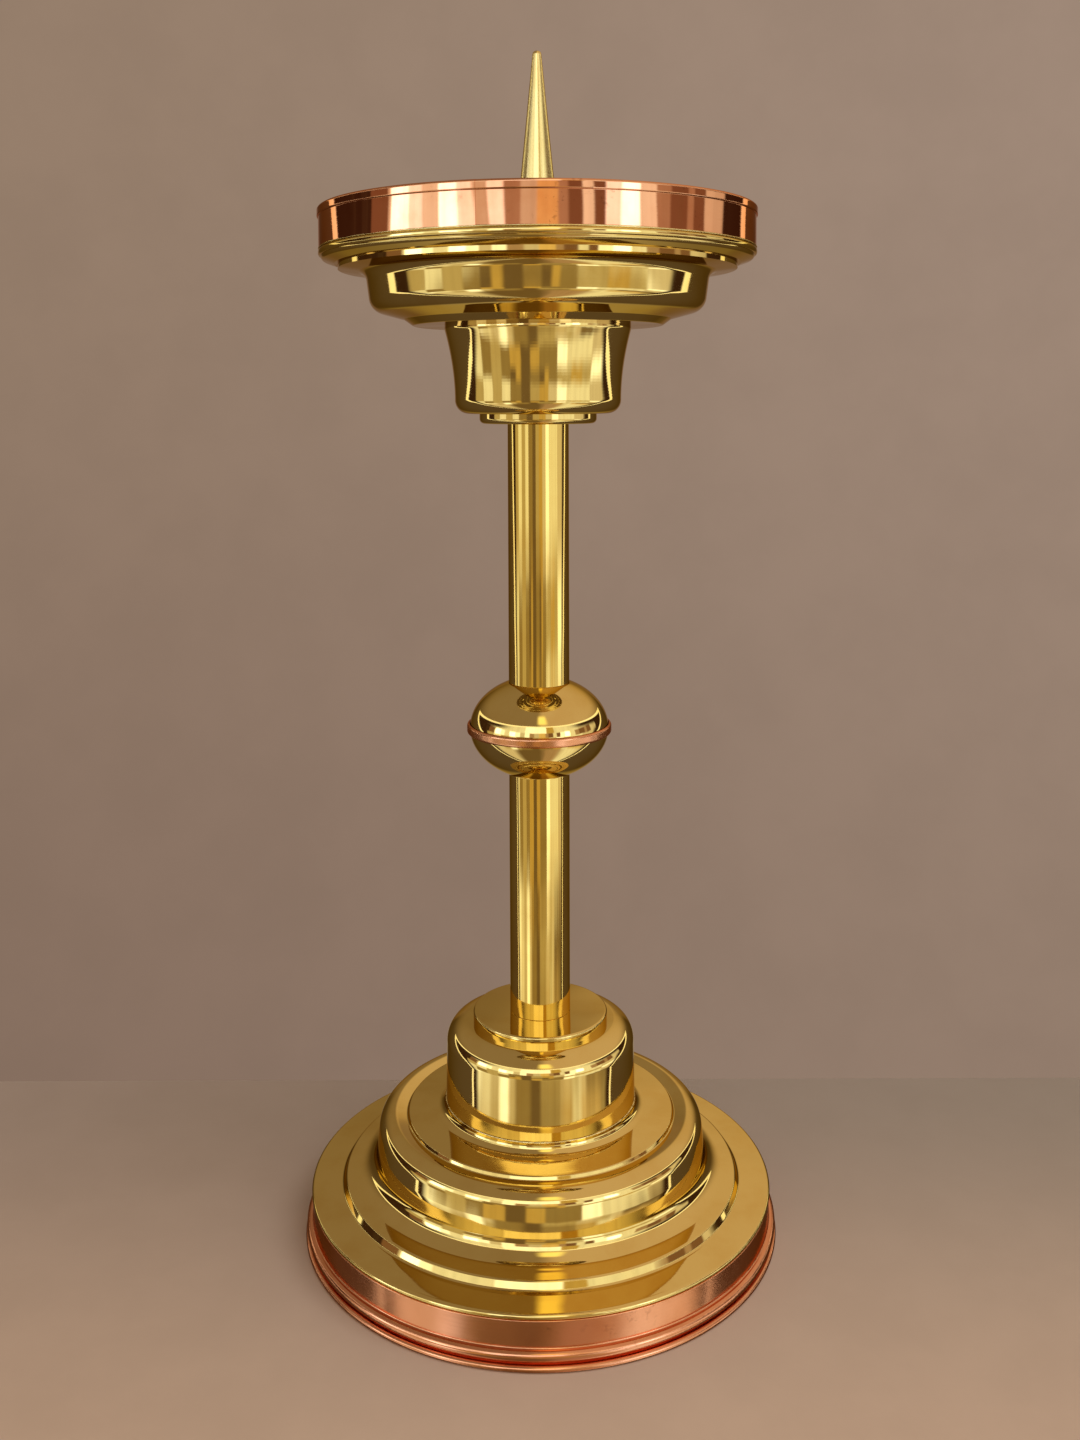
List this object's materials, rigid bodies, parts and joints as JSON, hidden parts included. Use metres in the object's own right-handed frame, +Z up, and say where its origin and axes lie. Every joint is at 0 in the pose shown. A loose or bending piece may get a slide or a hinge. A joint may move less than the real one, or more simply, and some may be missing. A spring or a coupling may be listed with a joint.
{
  "type": "candlestick",
  "caption": "Spun brass church candlestick: pricket over a deep drip pan, stepped capital, tube stem with a ball knop, stepped round base, copper band at pan and foot.",
  "frame": {"origin": "middle of the foot, on the surface that the candlestick stands on", "axes": "+Z up along the axis of the stem; X and Y are free, because every piece is turned or spun"},
  "size_m": [0.1752, 0.1752, 0.4333],
  "materials": {
    "brass": "polished, with fine polishing marks",
    "copper": "polished copper, redder than the brass beside it",
    "steel": "plain, not seen in use"
  },
  "bodies": {
    "root": {"base_dome": "brass", "base_drum": "brass", "stem_seat": "brass", "lower_stem": "brass", "upper_stem": "brass", "knop_upper_shell": "brass", "knop_lower_shell": "brass", "knop_core": "brass", "capital_collar": "brass", "capital_cup": "brass", "capital_bowl": "brass", "capital_spacer": "brass", "drip_pan": "brass", "pricket_washer": "brass", "pricket": "brass", "base_washer": "brass", "foot_band": "copper", "knop_wire": "copper", "pan_band": "copper", "base_nut": "steel", "tie_rod": "steel"}
  },
  "joints": []
}
